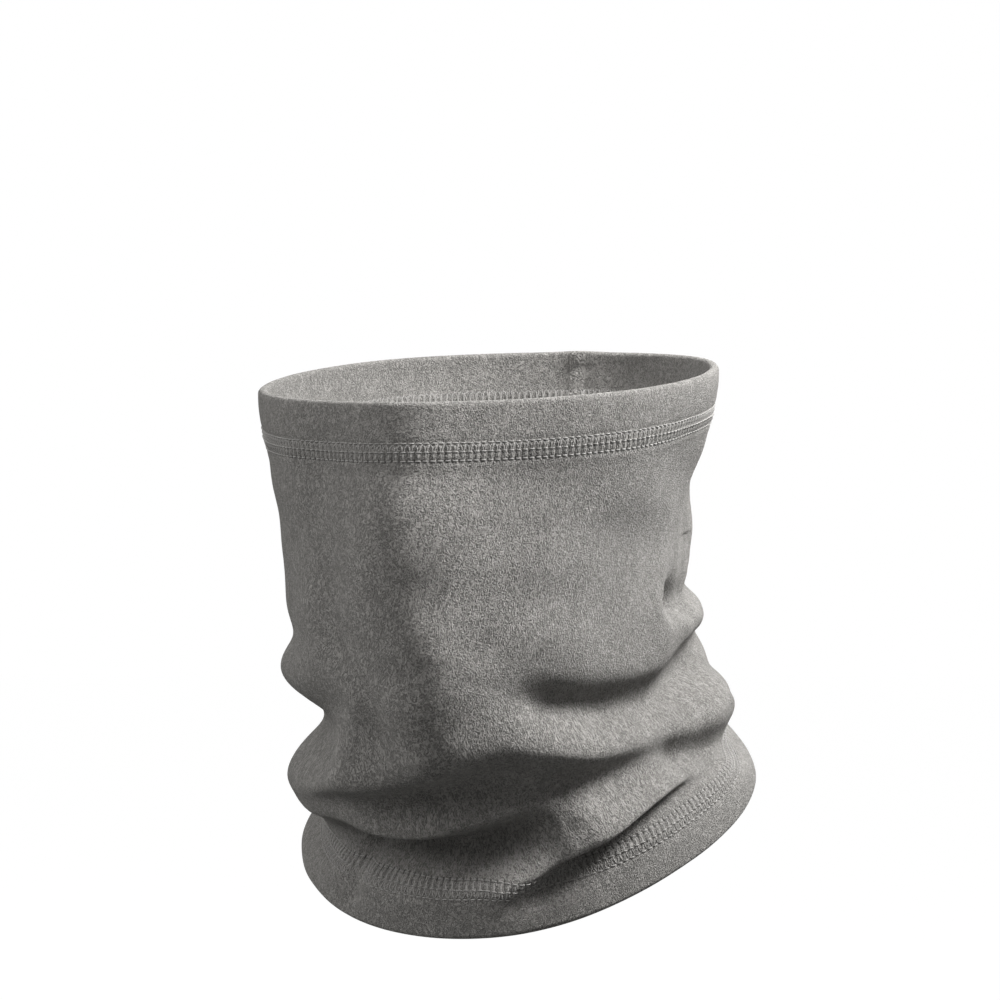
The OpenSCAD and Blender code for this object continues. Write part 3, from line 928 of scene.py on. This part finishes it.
def studio_paper():
    # White paper that is lit to match the walls, and throws little light back up.
    m, tree, shader = new_material("studio_paper_matt_white")
    shader.inputs["Base Color"].default_value = linear("#6A6A6A")
    shader.inputs["Roughness"].default_value = 1.0
    shader.inputs["Emission Color"].default_value = (1, 1, 1, 1)
    ray = node(tree, "ShaderNodeLightPath")
    glow = node(tree, "ShaderNodeMath", {"operation": "MULTIPLY"}, {0: ray.outputs["Is Camera Ray"]})
    glow.inputs[1].default_value = 0.9
    tree.links.new(glow.outputs[0], shader.inputs["Emission Strength"])
    return m


def add_floor():
    bm = bmesh.new()
    bmesh.ops.create_circle(bm, cap_ends=True, segments=96, radius=6.0)
    mesh = bpy.data.meshes.new("floor")
    bm.to_mesh(mesh)
    bm.free()
    mesh.transform(Matrix.Translation((0, 0, FLOOR_HEIGHT)))
    floor = add_object("floor", mesh)
    mesh.materials.append(studio_paper())


class GAITER_OT_stage(bpy.types.Operator):
    """Set the camera, the lights and the pale floor"""
    bl_idname = "gaiter.stage"
    bl_label = "Camera, Lights and Floor"

    def execute(self, context):
        scene, settings = context.scene, context.scene.gaiter_stage
        scene.view_settings.view_transform = "Standard"
        add_camera(scene, settings)
        add_world(scene)
        for name, box in SOFT_BOXES.items():
            add_soft_box(scene, name, box, settings.camera_azimuth)
        add_floor()
        return {"FINISHED"}


SETTINGS = {
    "gaiter_cloth": GaiterClothSettings,
    "gaiter_stitch": GaiterStitchSettings,
    "gaiter_label": GaiterLabelSettings,
    "gaiter_stage": GaiterStageSettings,
}
OPERATORS = [GAITER_OT_stage, GAITER_OT_fleece, GAITER_OT_hem_stitches, GAITER_OT_back_seam,
             GAITER_OT_care_label]


class GAITER_PT_sidebar(bpy.types.Panel):
    """The gaiter's settings and pieces"""
    bl_label = "Fleece Gaiter"
    bl_space_type = "VIEW_3D"
    bl_region_type = "UI"
    bl_category = "Gaiter"

    def draw(self, context):
        for name, group in SETTINGS.items():
            box = self.layout.box()
            for prop in group.__annotations__:
                box.prop(getattr(context.scene, name), prop)
        for operator in OPERATORS:
            self.layout.operator(operator.bl_idname)


def register():
    for cls in (*SETTINGS.values(), *OPERATORS, GAITER_PT_sidebar):
        bpy.utils.register_class(cls)
    for name, group in SETTINGS.items():
        setattr(bpy.types.Scene, name, bpy.props.PointerProperty(type=group))


def unregister():
    for name in SETTINGS:
        delattr(bpy.types.Scene, name)
    for cls in reversed((*SETTINGS.values(), *OPERATORS, GAITER_PT_sidebar)):
        bpy.utils.unregister_class(cls)


def main():
    register()
    bpy.ops.gaiter.stage()
    bpy.ops.gaiter.fleece()
    bpy.ops.gaiter.hem_stitches()
    bpy.ops.gaiter.back_seam()
    bpy.ops.gaiter.care_label()


if __name__ == "__main__":
    main()
